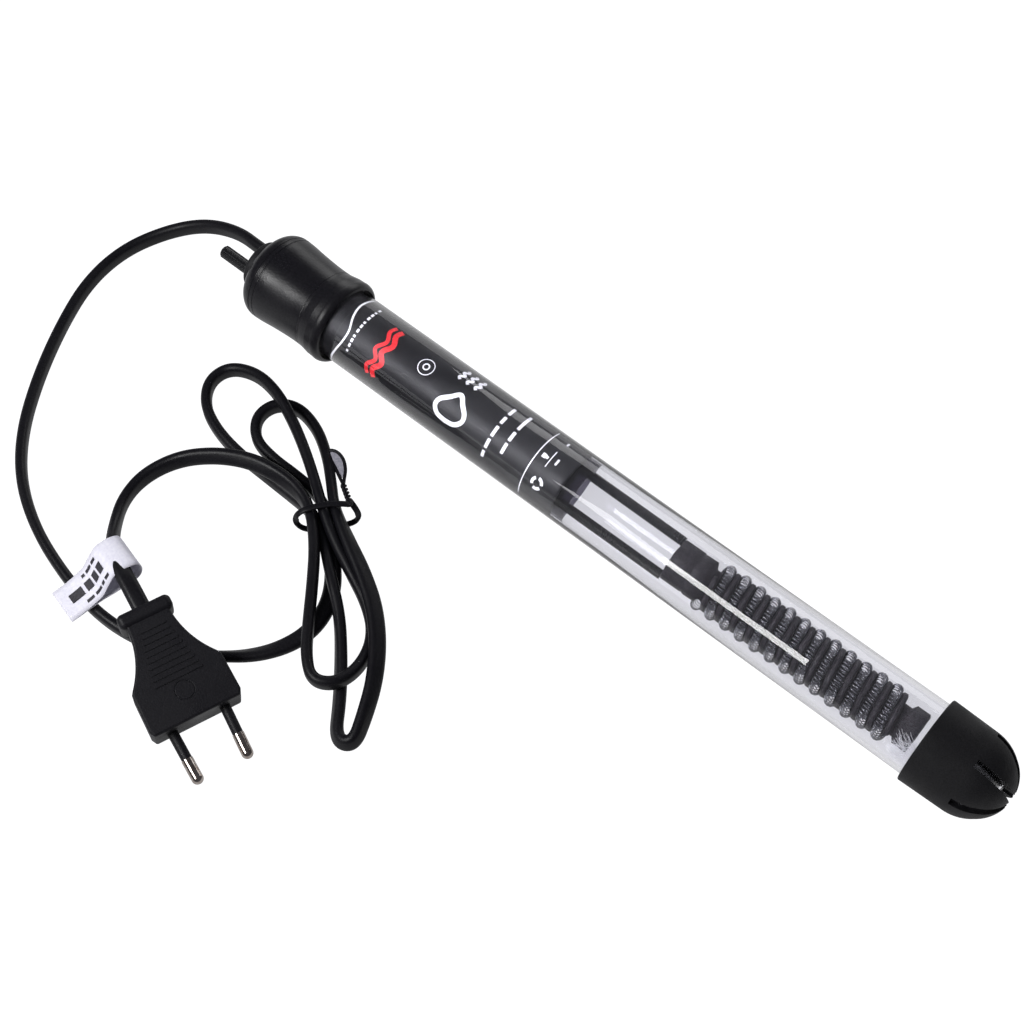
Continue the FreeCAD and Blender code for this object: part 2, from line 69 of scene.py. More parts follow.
# Each finish: base and dark colours, grain per metre, roughness range, bump height and the rest.
finishes = {
    "cap_plastic": {
        "light": (0.0095, 0.009, 0.012), "dark": (0.005, 0.0048, 0.0065), "grain": 1400,
        "rough": (0.26, 0.38), "bump": 0.00006, "gloss": 0.3,
    },
    "black_rubber": {
        "light": (0.009, 0.0088, 0.011), "dark": (0.003, 0.003, 0.004), "grain": 2600,
        "rough": (0.5, 0.72), "bump": 0.00016, "gloss": 0.3,
    },
    "knob_plastic": {
        "light": (0.008, 0.008, 0.0105), "dark": (0.004, 0.004, 0.005), "grain": 900,
        "rough": (0.22, 0.34), "bump": 0.00003,
    },
    "seal_rubber": {
        "light": (0.05, 0.05, 0.05), "dark": (0.03, 0.03, 0.03), "grain": 1800,
        "rough": (0.45, 0.6), "bump": 0.00004,
    },
    "sleeve_film": {
        "light": (0.0055, 0.0052, 0.0068), "dark": (0.0028, 0.0028, 0.0036), "grain": 2200,
        "rough": (0.3, 0.46), "bump": 0.00009, "gloss": 0.5,
    },
    "board_phenolic": {
        "light": (0.34, 0.2, 0.1), "dark": (0.24, 0.13, 0.06), "grain": 700,
        "rough": (0.4, 0.6), "bump": 0.00004, "stretch": (0.2, 1, 1),
    },
    "steel": {
        "light": (0.66, 0.66, 0.68), "dark": (0.5, 0.5, 0.53), "grain": 900,
        "rough": (0.2, 0.38), "bump": 0.00002, "metal": 1, "stretch": (0.1, 1, 1),
    },
    "brass": {
        "light": (0.78, 0.6, 0.28), "dark": (0.6, 0.42, 0.18), "grain": 800,
        "rough": (0.22, 0.4), "bump": 0.00002, "metal": 1,
    },
    "silver": {
        "light": (0.86, 0.85, 0.82), "dark": (0.7, 0.68, 0.64), "grain": 900,
        "rough": (0.15, 0.3), "bump": 0.00001, "metal": 1,
    },
    "magnet": {
        "light": (0.12, 0.12, 0.13), "dark": (0.07, 0.07, 0.08), "grain": 2000,
        "rough": (0.5, 0.7), "bump": 0.00006,
    },
    "resistor_lacquer": {
        "light": (0.66, 0.52, 0.33), "dark": (0.55, 0.4, 0.24), "grain": 900,
        "rough": (0.2, 0.35), "bump": 0.00002,
    },
    "capacitor_plastic": {
        "light": (0.6, 0.46, 0.08), "dark": (0.5, 0.36, 0.05), "grain": 700,
        "rough": (0.25, 0.4), "bump": 0.00003,
    },
    "wire_blue": {
        "light": (0.05, 0.12, 0.42), "dark": (0.03, 0.08, 0.3), "grain": 900,
        "rough": (0.25, 0.4), "bump": 0.00002,
    },
    "wire_brown": {
        "light": (0.2, 0.09, 0.04), "dark": (0.13, 0.05, 0.02), "grain": 900,
        "rough": (0.25, 0.4), "bump": 0.00002,
    },
    "ceramic": {
        "light": (0.022, 0.019, 0.023), "dark": (0.008, 0.007, 0.009), "grain": 1100,
        "rough": (0.55, 0.8), "bump": 0.0002, "gloss": 0.25,
    },
    "resistance_wire": {
        "light": (0.3, 0.3, 0.32), "dark": (0.1, 0.1, 0.115), "grain": 1500,
        "rough": (0.12, 0.26), "bump": 0.00001, "metal": 1,
    },
    "glass_wool": {
        "light": (0.93, 0.93, 0.95), "dark": (0.75, 0.75, 0.79), "grain": 1500,
        "rough": (0.7, 0.9), "bump": 0.0002,
    },
    "cord_pvc": {
        "light": (0.0068, 0.0065, 0.009), "dark": (0.004, 0.0038, 0.0055), "grain": 1300,
        "rough": (0.36, 0.52), "bump": 0.00007, "gloss": 0.2,
    },
    "plug_pvc": {
        "light": (0.0085, 0.0082, 0.011), "dark": (0.0045, 0.0043, 0.006), "grain": 2300,
        "rough": (0.42, 0.6), "bump": 0.00012, "gloss": 0.2,
    },
    "nickel": {
        "light": (0.5, 0.46, 0.43), "dark": (0.33, 0.28, 0.25), "grain": 700,
        "rough": (0.16, 0.3), "bump": 0.00002, "metal": 1,
    },
    "tag_paper": {
        "light": (0.84, 0.83, 0.92), "dark": (0.76, 0.75, 0.86), "grain": 900,
        "rough": (0.45, 0.62), "bump": 0.00008,
    },
    "ink_white": {
        "light": (0.95, 0.95, 0.97), "dark": (0.84, 0.84, 0.88), "grain": 1800,
        "rough": (0.45, 0.6), "bump": 0.00003,
    },
    "ink_red": {
        "light": (0.85, 0.03, 0.035), "dark": (0.6, 0.012, 0.02), "grain": 1400,
        "rough": (0.4, 0.55), "bump": 0.00003,
    },
    "ink_dark": {
        "light": (0.035, 0.032, 0.045), "dark": (0.015, 0.014, 0.02), "grain": 1500,
        "rough": (0.5, 0.65), "bump": 0.00002,
    },
    # Painted sheen: a light grey for the twist tie's dark web, standing in for the lilac reflection lying on
    # it.
    "tie_web_painted_sheen": {
        "light": (0.32, 0.31, 0.36), "dark": (0.2, 0.2, 0.24), "grain": 1500,
        "rough": (0.5, 0.65), "bump": 0.00003,
    },
}


# What all the finishes share: the grain's share of dark and light, and the broad handling marks.
grainLook = {"detail": 5, "darkUpTo": 0.36, "lightFrom": 0.64, "bumpStrength": 0.8}
smudgeLook = {"scale": 55, "detail": 4, "low": 0.35, "high": 0.65}


def mixedMaterial(name, look):
    # Grain drives the colour, the roughness and a fine bump; a broad noise adds handling marks.
    material = bpy.data.materials.new(name)
    material.use_nodes = True
    nodes, links = material.node_tree.nodes, material.node_tree.links
    shader = nodes["Principled BSDF"]
    coords = nodes.new("ShaderNodeTexCoord")
    mapping = nodes.new("ShaderNodeMapping")
    mapping.inputs["Scale"].default_value = look.get("stretch", (1, 1, 1))
    grain = nodes.new("ShaderNodeTexNoise")
    grain.inputs["Scale"].default_value = look["grain"]
    grain.inputs["Detail"].default_value = grainLook["detail"]
    smudge = nodes.new("ShaderNodeTexNoise")
    smudge.inputs["Scale"].default_value = smudgeLook["scale"]
    smudge.inputs["Detail"].default_value = smudgeLook["detail"]
    ramp = nodes.new("ShaderNodeValToRGB")
    ramp.color_ramp.elements[0].position = grainLook["darkUpTo"]
    ramp.color_ramp.elements[1].position = grainLook["lightFrom"]
    ramp.color_ramp.elements[0].color = (*look["dark"], 1)
    ramp.color_ramp.elements[1].color = (*look["light"], 1)
    roughness = nodes.new("ShaderNodeMapRange")
    roughness.inputs["From Min"].default_value = smudgeLook["low"]
    roughness.inputs["From Max"].default_value = smudgeLook["high"]
    roughness.inputs["To Min"].default_value = look["rough"][0]
    roughness.inputs["To Max"].default_value = look["rough"][1]
    bump = nodes.new("ShaderNodeBump")
    bump.inputs["Distance"].default_value = look["bump"]
    bump.inputs["Strength"].default_value = grainLook["bumpStrength"]
    links.new(coords.outputs["Object"], mapping.inputs["Vector"])
    links.new(mapping.outputs["Vector"], grain.inputs["Vector"])
    links.new(coords.outputs["Object"], smudge.inputs["Vector"])
    links.new(grain.outputs["Fac"], ramp.inputs["Fac"])
    links.new(smudge.outputs["Fac"], roughness.inputs["Value"])
    links.new(grain.outputs["Fac"], bump.inputs["Height"])
    links.new(ramp.outputs["Color"], shader.inputs["Base Color"])
    links.new(roughness.outputs["Result"], shader.inputs["Roughness"])
    links.new(bump.outputs["Normal"], shader.inputs["Normal"])
    shader.inputs["Metallic"].default_value = look.get("metal", 0)
    shader.inputs["Specular IOR Level"].default_value = look.get("gloss", 0.5)
    return material


clearLook = {"stretch": (0.15, 1, 1), "waves": 90, "detail": 3, "strength": 0.5, "passing": (0.95, 0.95, 0.98)}


def clearMaterial(name, tint, ior, rough, ripple):
    # Clear stock that lets the lamps' light through to what is behind it.
    material = bpy.data.materials.new(name)
    material.use_nodes = True
    nodes, links = material.node_tree.nodes, material.node_tree.links
    shader = nodes["Principled BSDF"]
    shader.inputs["Base Color"].default_value = (*tint, 1)
    shader.inputs["Transmission Weight"].default_value = 1
    shader.inputs["IOR"].default_value = ior
    coords = nodes.new("ShaderNodeTexCoord")
    mapping = nodes.new("ShaderNodeMapping")
    mapping.inputs["Scale"].default_value = clearLook["stretch"]
    waves = nodes.new("ShaderNodeTexNoise")
    waves.inputs["Scale"].default_value = clearLook["waves"]
    waves.inputs["Detail"].default_value = clearLook["detail"]
    roughness = nodes.new("ShaderNodeMapRange")
    roughness.inputs["To Min"].default_value = rough[0]
    roughness.inputs["To Max"].default_value = rough[1]
    bump = nodes.new("ShaderNodeBump")
    bump.inputs["Distance"].default_value = ripple
    bump.inputs["Strength"].default_value = clearLook["strength"]
    lightPath = nodes.new("ShaderNodeLightPath")
    through = nodes.new("ShaderNodeBsdfTransparent")
    through.inputs["Color"].default_value = (*clearLook["passing"], 1)
    mix = nodes.new("ShaderNodeMixShader")
    links.new(coords.outputs["Object"], mapping.inputs["Vector"])
    links.new(mapping.outputs["Vector"], waves.inputs["Vector"])
    links.new(waves.outputs["Fac"], roughness.inputs["Value"])
    links.new(waves.outputs["Fac"], bump.inputs["Height"])
    links.new(roughness.outputs["Result"], shader.inputs["Roughness"])
    links.new(bump.outputs["Normal"], shader.inputs["Normal"])
    links.new(lightPath.outputs["Is Shadow Ray"], mix.inputs["Fac"])
    links.new(shader.outputs["BSDF"], mix.inputs[1])
    links.new(through.outputs["BSDF"], mix.inputs[2])
    links.new(mix.outputs["Shader"], nodes["Material Output"].inputs["Surface"])
    return material


def braidMaterial(name, look):
    # Wound sleeving: bands round the lead give the fine sparkle along it.
    material = mixedMaterial(name, look)
    nodes, links = material.node_tree.nodes, material.node_tree.links
    bands = nodes.new("ShaderNodeTexWave")
    bands.wave_type = "BANDS"
    bands.bands_direction = "X"
    bands.inputs["Scale"].default_value = look["bands"]
    bands.inputs["Distortion"].default_value = look["wander"]
    bands.inputs["Detail"].default_value = look["detail"]
    ridges = nodes.new("ShaderNodeBump")
    ridges.inputs["Distance"].default_value = look["ridge"]
    ridges.inputs["Strength"].default_value = 1
    links.new(nodes["Texture Coordinate"].outputs["Object"], bands.inputs["Vector"])
    links.new(bands.outputs["Fac"], ridges.inputs["Height"])
    links.new(nodes["Bump"].outputs["Normal"], ridges.inputs["Normal"])
    links.new(ridges.outputs["Normal"], nodes["Principled BSDF"].inputs["Normal"])
    return material


materials = {name: mixedMaterial(name, look) for name, look in finishes.items()}
materials["glass"] = clearMaterial("glass", (0.962, 0.962, 0.992), 1.47, (0.0, 0.004), 0.0000006)
materials["smoke_plastic"] = clearMaterial("smoke_plastic", (0.16, 0.15, 0.19), 1.2, (0.05, 0.12), 0.00002)
materials["lamp_glass"] = clearMaterial("lamp_glass", (0.95, 0.75, 0.6), 1.45, (0.02, 0.05), 0.00001)
materials["lead_sleeving"] = braidMaterial("lead_sleeving", {
    "light": (0.007, 0.007, 0.009), "dark": (0.0025, 0.0025, 0.0035), "grain": 1500,
    "rough": (0.16, 0.3), "bump": 0.00008, "bands": 330, "ridge": 0.0003,
    "wander": 1.2, "detail": 2,
})

nodeFinishes = {
    "glass": ["glass_tube"],
    "cap_plastic": ["head_cap", "end_disc"],
    "black_rubber": ["cord_gland", "tube_stopper", "end_guard"],
    "knob_plastic": ["adjusting_knob"],
    "seal_rubber": ["knob_o_ring"],
    "brass": ["adjusting_shaft", "adjusting_screw", "adjuster_nut", "terminal_tabs", "contact_post"],
    "steel": ["adjuster_bracket", "bimetal_strip", "bimetal_anchor", "anchor_rivets", "magnet_armature"],
    "silver": ["moving_contact", "fixed_contact"],
    "board_phenolic": ["mounting_board"],
    "magnet": ["snap_magnet"],
    "lamp_glass": ["indicator_lamp"],
    "resistor_lacquer": ["lamp_resistor"],
    "capacitor_plastic": ["suppression_capacitor"],
    "wire_blue": ["neutral_wire"],
    "wire_brown": ["live_wire"],
    "sleeve_film": ["printed_sleeve"],
    "smoke_plastic": ["inner_liner"],
    "lead_sleeving": ["lead_upper", "lead_lower", "return_wire"],
    "ceramic": ["ceramic_core"],
    "resistance_wire": ["heating_coil"],
    "glass_wool": ["glass_wool_pad"],
    "cord_pvc": ["mains_cord", "plug_cord", "cord_hank", "twist_tie"],
    "plug_pvc": ["plug_body", "pin_sleeves"],
    "nickel": ["plug_pins"],
    "tag_paper": ["rating_tag"],
}
for finishName, nodeNames in nodeFinishes.items():
    for nodeName in nodeNames:
        node = frame["nodes"][nodeName]
        node.data.materials.clear()
        node.data.materials.append(materials[finishName])
print("finishes made")

# The heater's own frame: x along the tube from the cap's mouth, z up when it lies down.
knobJoint = next(joint for joint in frame["joints"] if joint["name"] == "knob_turn")
heaterPlace = {"dip": 0.315, "knob": (-58.7, -3.8, -1.4)}
heaterTurn = Matrix.Rotation(math.radians(heaterPlace["dip"]), 4, "Y")
knobLocal = Vector(heaterPlace["knob"]) * mm
heaterMatrix = Matrix.Translation(Vector(knobJoint["pos_m"]) - (heaterTurn @ knobLocal)) @ heaterTurn


mergeDistance = 0.002 * mm


def intoHeater(shape):
    bmesh.ops.transform(shape, matrix=heaterMatrix @ Matrix.Scale(mm, 4), verts=shape.verts)


def finishMesh(name, shape, finish, replaced=(), smooth=True):
    bmesh.ops.remove_doubles(shape, verts=shape.verts, dist=mergeDistance)
    bmesh.ops.recalc_face_normals(shape, faces=shape.faces)
    mesh = bpy.data.meshes.new(name)
    shape.to_mesh(mesh)
    shape.free()
    mesh.materials.append(materials[finish])
    for face in mesh.polygons:
        face.use_smooth = smooth
    piece = bpy.data.objects.new(name, mesh)
    bpy.context.scene.collection.objects.link(piece)
    return joinFrame(piece, replaced)


def joinFrame(piece, replaced=()):
    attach(piece, "heater")
    if replaced:
        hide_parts(*replaced)
    return piece


curveSteps = 10


def finishCurve(name, strands, finish, radius, flat=0.0, rounding=2, order=0, replaced=()):
    # Strands are lists of (point in metres, tilt). An order above 0 makes open NURBS splines.
    data = bpy.data.curves.new(name, "CURVE")
    data.dimensions = "3D"
    data.bevel_depth = radius
    data.extrude = flat
    data.bevel_resolution = rounding
    data.use_fill_caps = True
    data.twist_mode = "Z_UP" if flat else "MINIMUM"
    for strand in strands:
        spline = data.splines.new("NURBS" if order else "POLY")
        spline.points.add(len(strand) - 1)
        for place, (point, tilt) in zip(spline.points, strand):
            place.co = (*point, 1)
            place.tilt = tilt
        if order:
            spline.order_u = order
            spline.use_endpoint_u = True
            spline.resolution_u = curveSteps
    data.materials.append(materials[finish])
    piece = bpy.data.objects.new(name, data)
    bpy.context.scene.collection.objects.link(piece)
    return joinFrame(piece, replaced)


# The mains cord: a flat twin flex standing on edge for most of its way. Each point is x, y, z in
# millimetres and the twist in degrees, 0 on edge and 90 lying flat.
cordLook = {
    "halfThick": 1.9,
    "halfCore": 1.2,
    "length": 1.11,
    "exit": (-0.1542, 0.0043, 0.0186),
    "route": [
        (-144.2, 4.3, 18.55, 0), (-157.2, 4.3, 18.6, 0), (-172, 6.3, 15.2, 0), (-188.5, 3.6, 9, 0),
        (-200.5, -6.5, 4.6, 0), (-207.5, -22.5, 3.1, 0), (-206.8, -41.5, 3.1, 0), (-199.3, -61.8, 3.1, 0),
        (-188.8, -82.6, 3.1, 0), (-176, -102, 3.1, 0), (-161, -116.5, 3.1, 0), (-142, -126.5, 3.1, 0),
        (-120.5, -132.5, 3.1, 0), (-99, -135.5, 3.1, 0), (-79, -132, 3.1, 0), (-61.5, -122.5, 3.1, 20),
        (-48, -110, 2.6, 55), (-41.9, -94.5, 2.0, 88), (-45.4, -79.5, 2.0, 88), (-56.4, -67.5, 2.4, 50),
        (-67.4, -57.2, 3.1, 0),
        (-77, -53.5, 3.1, 0), (-87.5, -53, 3.1, 0), (-98.5, -53.2, 3.1, 0), (-109, -51.5, 3.1, 0),
        (-115.5, -44.5, 3.1, 0), (-114.5, -36, 3.1, 0), (-107, -31.5, 3.1, 0), (-96, -33.5, 3.1, 0),
        (-85.5, -39.5, 4, 0), (-75.5, -47.5, 6.5, 0), (-66.3, -55.6, 8.7, 0),
        (-53, -62.5, 9, 40), (-41.5, -68, 8.6, 60), (-30.5, -74.5, 8.3, 65), (-20.5, -83.5, 8, 60),
        (-12, -94.5, 7.6, 50), (-6.5, -105.5, 6.6, 35), (-2.8, -115, 5, 20), (-9.3, -117.2, 3.3, 20),
        (-17.5, -106, 3.1, 25), (-27.5, -94.5, 3.1, 20), (-37.9, -83.7, 4.6, 10), (-50.6, -74.7, 6.9, 0),
        (-69.8, -60.2, 3.1, 0),
        (-83.5, -59.8, 3.1, 0), (-96, -59.6, 3.1, 0), (-109.5, -59.4, 3.1, 0), (-122.5, -57.3, 3.1, 0),
        (-133.5, -52.5, 3.1, 0), (-139.8, -44, 3.1, 0), (-138, -35, 3.3, 0), (-126.9, -31.7, 6, 0),
        (-113.6, -34.3, 9.3, 0), (-101, -39.5, 9.4, 0), (-89.5, -45.5, 9.3, 0), (-78.8, -52, 9, 0),
        (-69, -58.5, 8.7, 0),
        (-57.5, -65, 7.5, 0), (-46, -69.5, 5, 0), (-34, -74.5, 3.4, 0), (-24.5, -82, 3.1, 0),
        (-19.3, -93.4, 6, 0), (-20, -104.2, 9.2, 0), (-27, -108.5, 9.6, 0), (-34.7, -103, 9.5, 0),
        (-42.5, -93.5, 9.4, 0), (-51.5, -82, 9.2, 0), (-61, -70.8, 9, 0), (-71.7, -61.6, 8.7, 0),
        (-80, -58.8, 9, 20), (-90, -58.6, 9.2, 40), (-101.7, -60.9, 9.3, 45), (-113.4, -67.1, 8.2, 40),
        (-123.7, -75.4, 5, 30), (-128.9, -87.2, 3.1, 15), (-127.4, -99, 3.1, 0), (-119.9, -109.6, 5.5, 0),
        (-111, -116.9, 12.2, 20), (-101.5, -121.3, 17.3, 60), (-91.5, -124.8, 17.5, 90),
        (-81.5, -128.4, 15.1, 90),
    ],
}
cordPoints = [(Vector(place[:3]) * mm, math.radians(place[3])) for place in cordLook["route"]]
mainsCord = finishCurve(
    "mainsCord", [cordPoints], "cord_pvc", cordLook["halfThick"] * mm, cordLook["halfCore"] * mm, 3, 3,
    ("mains_cord", "plug_cord", "cord_hank"))
print("cord laid")

# The twist tie: a flat coated strip round the bundle, its ends twisted together and bent into a loop.
tieLook = {
    "wire": 0.5,
    "stripHalf": 0.62,
    "band": [
        (-63.4, -51.2, 11.2), (-61.0, -52.2, 11.6), (-62.6, -54.0, 13.0), (-66.4, -57.4, 13.2),
        (-69.4, -61.2, 13.1), (-71.9, -64.8, 12.6), (-73.6, -67.4, 9.8), (-72.6, -67.8, 5.0),
        (-70.0, -65.2, 1.2), (-64.0, -58.2, 1.0), (-59.8, -52.8, 1.4), (-58.8, -51.2, 5.4),
        (-60.8, -51.2, 9.4), (-63.0, -51.0, 10.6),
    ],
    "twistFrom": (-63.0, -51.2, 10.8),
    "twistTo": (-70.2, -46.9, 9.0),
    "twists": 2.5,
    "twistSteps": 40,
    "twistSpread": 0.62,
    "twistWire": 0.55,
    "tailWire": 0.62,
    "webInset": 0.7,
    "webThick": 0.25,
    "tail": [
        (-69.6, -47.2, 9.2), (-71.8, -44.4, 8.4), (-73.8, -41.6, 8.0), (-77.4, -38.8, 8.0),
        (-81.4, -38.0, 8.0), (-84.4, -39.4, 7.4), (-82.0, -41.2, 7.0), (-77.4, -43.2, 7.0),
        (-73.4, -45.2, 7.6), (-69.8, -47.0, 8.8),
    ],
}
bandPoints = [(Vector(place) * mm, math.radians(90)) for place in tieLook["band"]]
finishCurve(
    "twistTie", [bandPoints], "cord_pvc", tieLook["wire"] * mm, tieLook["stripHalf"] * mm, 2, 3,
    ("twist_tie",))
twistStart, twistEnd = Vector(tieLook["twistFrom"]) * mm, Vector(tieLook["twistTo"]) * mm
twistAxis = (twistEnd - twistStart).normalized()
twistSide = twistAxis.orthogonal().normalized()
twistStrands = []
for strandPhase in (0, math.pi):
    strand = []
    for step in range(tieLook["twistSteps"] + 1):
        share = step / tieLook["twistSteps"]
        turn = Matrix.Rotation(strandPhase + share * tieLook["twists"] * 2 * math.pi, 3, twistAxis)
        strand.append((twistStart.lerp(twistEnd, share) + turn @ twistSide * tieLook["twistSpread"] * mm, 0.0))
    twistStrands.append(strand)
finishCurve("twistTiePair", twistStrands, "cord_pvc", tieLook["twistWire"] * mm)
tailPoints = [(Vector(place) * mm, 0.0) for place in tieLook["tail"]]
finishCurve("twistTieTail", [tailPoints], "cord_pvc", tieLook["tailWire"] * mm, order=3)
# The web inside the tie's tail loop is dark plastic; its light grey finish is a painted sheen for the lilac
# reflection on it.
webShape = bmesh.new()
webCorners = [webShape.verts.new(Vector(place)) for place in tieLook["tail"][1:-1]]
webFace = webShape.faces.new(webCorners)
bmesh.ops.inset_region(webShape, faces=[webFace], thickness=tieLook["webInset"])
bmesh.ops.solidify(webShape, geom=webShape.faces[:], thickness=tieLook["webThick"])
bmesh.ops.transform(webShape, matrix=Matrix.Scale(mm, 4), verts=webShape.verts)
finishMesh("twistTieWeb", webShape, "tie_web_painted_sheen", (), False)
print("twist tie made")


def turnedShape(shape, outline, steps=64, closed=True):
    # An outline of (x, radius) places is spun full circle about the x axis.
    corners = [shape.verts.new((x, 0, radius)) for x, radius in outline]
    edges = [shape.edges.new(pair) for pair in zip(corners, corners[1:])]
    if closed:
        edges.append(shape.edges.new((corners[-1], corners[0])))
    bmesh.ops.spin(
        shape, geom=corners + edges, cent=(0, 0, 0), axis=(1, 0, 0), angle=2 * math.pi, steps=steps,
        use_merge=True)


# The glass tube: drawn glass with a rounded closed end under the guard.
tubeLook = {
    "start": -26.0,
    "domeCentre": 263.0,
    "outer": 13.5,
    "inner": 12.0,
    "rim": 0.35,
    "domeSteps": 14,
    "roundSteps": 160,
}


def domePlaces(radius):
    # From the tip on the axis round to the straight wall.
    places = []
    for step in range(tubeLook["domeSteps"] + 1):
        turn = math.pi / 2 * step / tubeLook["domeSteps"]
        places.append((tubeLook["domeCentre"] + radius * math.cos(turn), radius * math.sin(turn)))
    return places


tubeOutline = domePlaces(tubeLook["outer"]) + [
    (tubeLook["start"] + tubeLook["rim"], tubeLook["outer"]),
    (tubeLook["start"], tubeLook["outer"] - tubeLook["rim"]),
    (tubeLook["start"], tubeLook["inner"] + tubeLook["rim"]),
    (tubeLook["start"] + tubeLook["rim"], tubeLook["inner"]),
] + domePlaces(tubeLook["inner"])[::-1]
tubeShape = bmesh.new()
turnedShape(tubeShape, tubeOutline, tubeLook["roundSteps"], False)
intoHeater(tubeShape)
finishMesh("glassTube", tubeShape, "glass", ("glass_tube",))
print("tube drawn")

# The black printed sleeve inside the glass, running on into the cap.
sleeveLook = {"start": -5.0, "end": 106.0, "outer": 11.85, "wall": 0.35, "rim": 0.08, "edgeBand": 1}
sleeveInner = sleeveLook["outer"] - sleeveLook["wall"]
sleeveOutline = [
    (sleeveLook["start"], sleeveInner + sleeveLook["rim"]),
    (sleeveLook["start"], sleeveLook["outer"] - sleeveLook["rim"]),
    (sleeveLook["start"] + sleeveLook["rim"], sleeveLook["outer"]),
    (sleeveLook["start"] + sleeveLook["edgeBand"], sleeveLook["outer"]),
    (sleeveLook["end"] - sleeveLook["edgeBand"], sleeveLook["outer"]),
    (sleeveLook["end"] - sleeveLook["rim"], sleeveLook["outer"]),
    (sleeveLook["end"], sleeveLook["outer"] - sleeveLook["rim"]),
    (sleeveLook["end"], sleeveInner + sleeveLook["rim"]),
    (sleeveLook["end"] - sleeveLook["rim"], sleeveInner),
    (sleeveLook["end"] - sleeveLook["edgeBand"], sleeveInner),
    (sleeveLook["start"] + sleeveLook["edgeBand"], sleeveInner),
    (sleeveLook["start"] + sleeveLook["rim"], sleeveInner),
]
sleeveShape = bmesh.new()
turnedShape(sleeveShape, sleeveOutline, tubeLook["roundSteps"])
intoHeater(sleeveShape)
finishMesh("sleeveFilm", sleeveShape, "sleeve_film", ("printed_sleeve",))
print("sleeve drawn")

# The heating coil: a fine spring of wire, itself wound into the groove of the ceramic core.
coilLook = {
    "start": 165.0,
    "pitch": 5.9,
    "turns": 12.25,
    "centreRadius": 7.7,
    "springRadius": 1.8,
    "wireRadius": 0.17,
    "springTurns": 570,
    "pointsPerTurn": 12,
    "phase": 200.0,
    "uneven": 0.05,
    "unevenRate": 411.0,
}


def coilPoint(share, spin):
    angle = math.radians(coilLook["phase"]) + share * coilLook["turns"] * 2 * math.pi
    outward = Vector((0, math.cos(angle), math.sin(angle)))
    along = Vector((1, 0, 0))
    centre = along * (coilLook["start"] + share * coilLook["turns"] * coilLook["pitch"])
    centre += outward * coilLook["centreRadius"]
    wobble = 1 + coilLook["uneven"] * math.sin(share * coilLook["unevenRate"])
    ring = outward * math.cos(spin) + along * math.sin(spin)
    return heaterMatrix @ ((centre + ring * coilLook["springRadius"] * wobble) * mm)


coilSteps = coilLook["springTurns"] * coilLook["pointsPerTurn"]
coilStrand = [
    (coilPoint(step / coilSteps, step * 2 * math.pi / coilLook["pointsPerTurn"]), 0.0)
    for step in range(coilSteps + 1)
]
finishCurve(
    "heatingCoil", [coilStrand], "resistance_wire", coilLook["wireRadius"] * mm, 0.0, 1, 0,
    ("heating_coil",))
print("coil wound")

# The ceramic core: a collar, a plain body with a helical rib between the coil's turns, and a stub.
coreLook = {
    "body": [
        (150.0, 1.3), (150.0, 7.2), (150.4, 7.6), (158.0, 7.6), (158.5, 7.2), (159.2, 7.6), (163.4, 7.6),
        (164.4, 5.6), (240.0, 5.6), (241.0, 7.2), (245.6, 7.2), (246.0, 6.8), (246.0, 1.3),
    ],
    "rib": [(-1.15, 5.2), (-0.95, 7.9), (-0.6, 8.45), (0.6, 8.45), (0.95, 7.9), (1.15, 5.2)],
    "ribStart": 166.15,
    "ribTurns": 12.2,
    "stepsPerTurn": 48,
    "chip": 0.16,
    "chipGrain": (0.55, 0.4),
    "chipReach": (1.6, 1.5),
    "boreKept": 5,
}
coreShape = bmesh.new()
turnedShape(coreShape, coreLook["body"])
ribCorners = [coreShape.verts.new((coreLook["ribStart"] + x, 0, radius)) for x, radius in coreLook["rib"]]
ribEdges = [coreShape.edges.new(pair) for pair in zip(ribCorners, ribCorners[1:] + ribCorners[:1])]
ribFace = coreShape.faces.new(ribCorners)
ribSteps = round(coreLook["ribTurns"] * coreLook["stepsPerTurn"])
bmesh.ops.spin(
    coreShape, geom=ribCorners + ribEdges + [ribFace], cent=(0, 0, 0), axis=(1, 0, 0),
    dvec=(coilLook["pitch"] / coreLook["stepsPerTurn"], 0, 0), angle=coreLook["ribTurns"] * 2 * math.pi,
    steps=ribSteps)
for corner in coreShape.verts:
    roughEdge = noise.noise(corner.co * coreLook["chipGrain"][0]) * coreLook["chip"]
    away = Vector((0, corner.co.y, corner.co.z))
    if away.length > coreLook["boreKept"]:
        corner.co += away.normalized() * roughEdge * coreLook["chipReach"][0]
        chipPlace = corner.co * coreLook["chipGrain"][1] + Vector((9, 4, 2))
        corner.co.x += noise.noise(chipPlace) * coreLook["chip"] * coreLook["chipReach"][1]
intoHeater(coreShape)
finishMesh("ceramicCore", coreShape, "ceramic", ("ceramic_core",))
print("core turned")

# The glass wool: a soft lump behind the core with loose fibres standing out of it.
woolLook = {
    "from": 248.2,
    "to": 262.0,
    "radius": 10.6,
    "lumps": (0.5, 0.7, 0.3),
    "endLumps": (0.6, 0.6),
    "fibres": 420,
    "fibreRadius": 0.035,
    "fibreSide": (140, 260),
    "fibreStart": (-4.5, 6.0),
    "fibreReach": (6.5, 10.6),
    "fibreLean": 0.5,
    "fibreRun": 4.2,
    "fibreBow": 1.2,
    "reachLimit": 10.9,
    "fibreSteps": 4,
}
woolShape = bmesh.new()
turnedShape(woolShape, [
    (woolLook["from"], 2.0), (woolLook["from"] + 0.6, 7.6), (woolLook["from"] + 2.4, 9.8),
    (woolLook["from"] + 7, woolLook["radius"]), (woolLook["to"] - 2, 9.8), (woolLook["to"], 6.0),
    (woolLook["to"], 2.0),
])
bmesh.ops.subdivide_edges(woolShape, edges=woolShape.edges, cuts=1, use_grid_fill=True)
lumpGrain, lumpHeight, lumpDrop = woolLook["lumps"]
endGrain, endHeight = woolLook["endLumps"]
